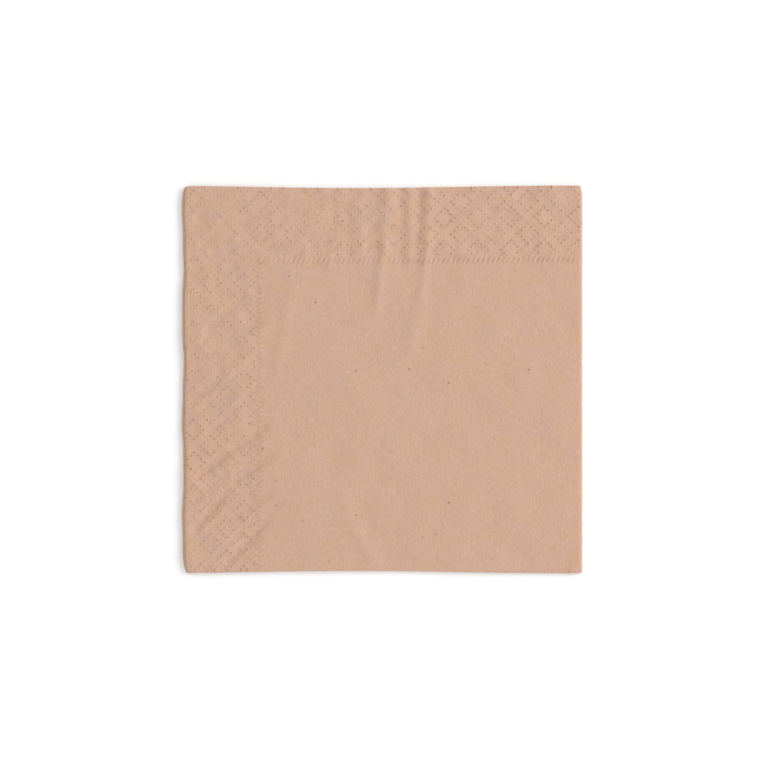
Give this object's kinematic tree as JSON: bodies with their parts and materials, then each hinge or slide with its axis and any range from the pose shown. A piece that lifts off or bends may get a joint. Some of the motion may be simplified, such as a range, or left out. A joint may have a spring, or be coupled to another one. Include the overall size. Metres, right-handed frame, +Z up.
{
  "type": "paper napkin",
  "caption": "Brown paper cocktail napkin folded in quarters, lying flat, with a border of embossed dots along its cut edges.",
  "frame": {"origin": "on the surface that the napkin lies on, under the middle of its outline", "axes": "+Z up through the four layers, +X towards the second fold, -Y towards the first fold; cut edges at -X and +Y"},
  "size_m": [0.12, 0.1164, 0.0018],
  "materials": {
    "kraft_tissue": "soft matt"
  },
  "bodies": {
    "root": {"folded_sheet": "kraft_tissue"}
  },
  "joints": []
}
